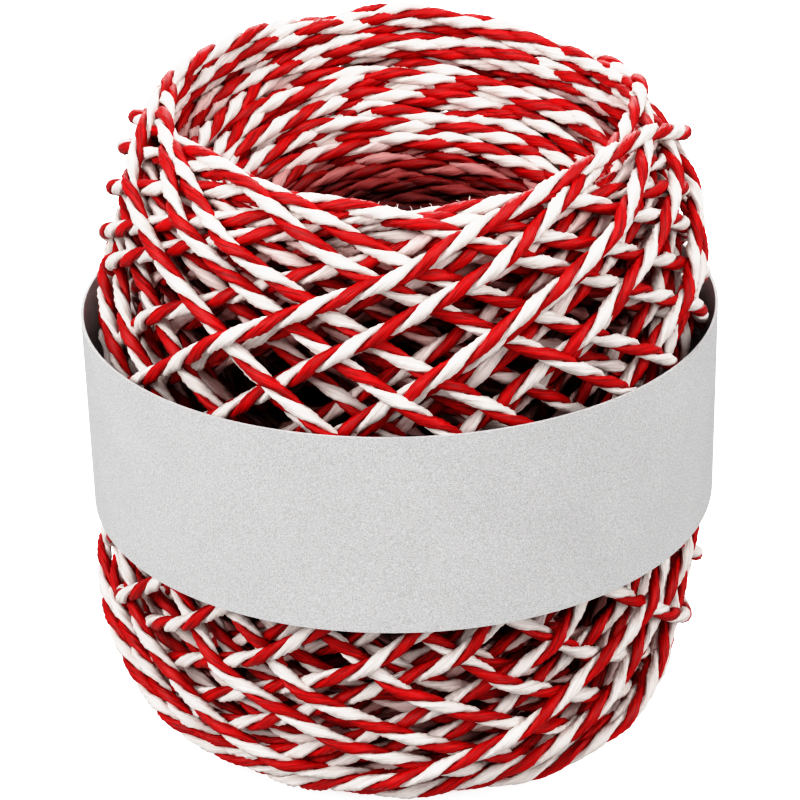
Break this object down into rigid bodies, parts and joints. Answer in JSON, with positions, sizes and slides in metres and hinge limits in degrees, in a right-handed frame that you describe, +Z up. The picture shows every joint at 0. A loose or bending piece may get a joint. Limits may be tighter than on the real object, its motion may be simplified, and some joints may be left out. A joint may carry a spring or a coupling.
{
  "type": "roll of paper cord",
  "caption": "Cross-wound roll of red and white twisted paper cord standing on end, open through the middle, with a loose plain grey paper band round its waist.",
  "frame": {"origin": "on the surface that the roll stands on, under the middle of the band", "axes": "+Z up along the roll's hole, -Y towards the pictured side, +X to the right in the picture"},
  "size_m": [0.0806, 0.081, 0.08],
  "materials": {
    "cord": "matte twisted paper, one red ply and one white ply",
    "band": "matte light grey card with fine flecks"
  },
  "bodies": {
    "root": {"cord_roll": "cord", "paper_band": "band"}
  },
  "joints": []
}
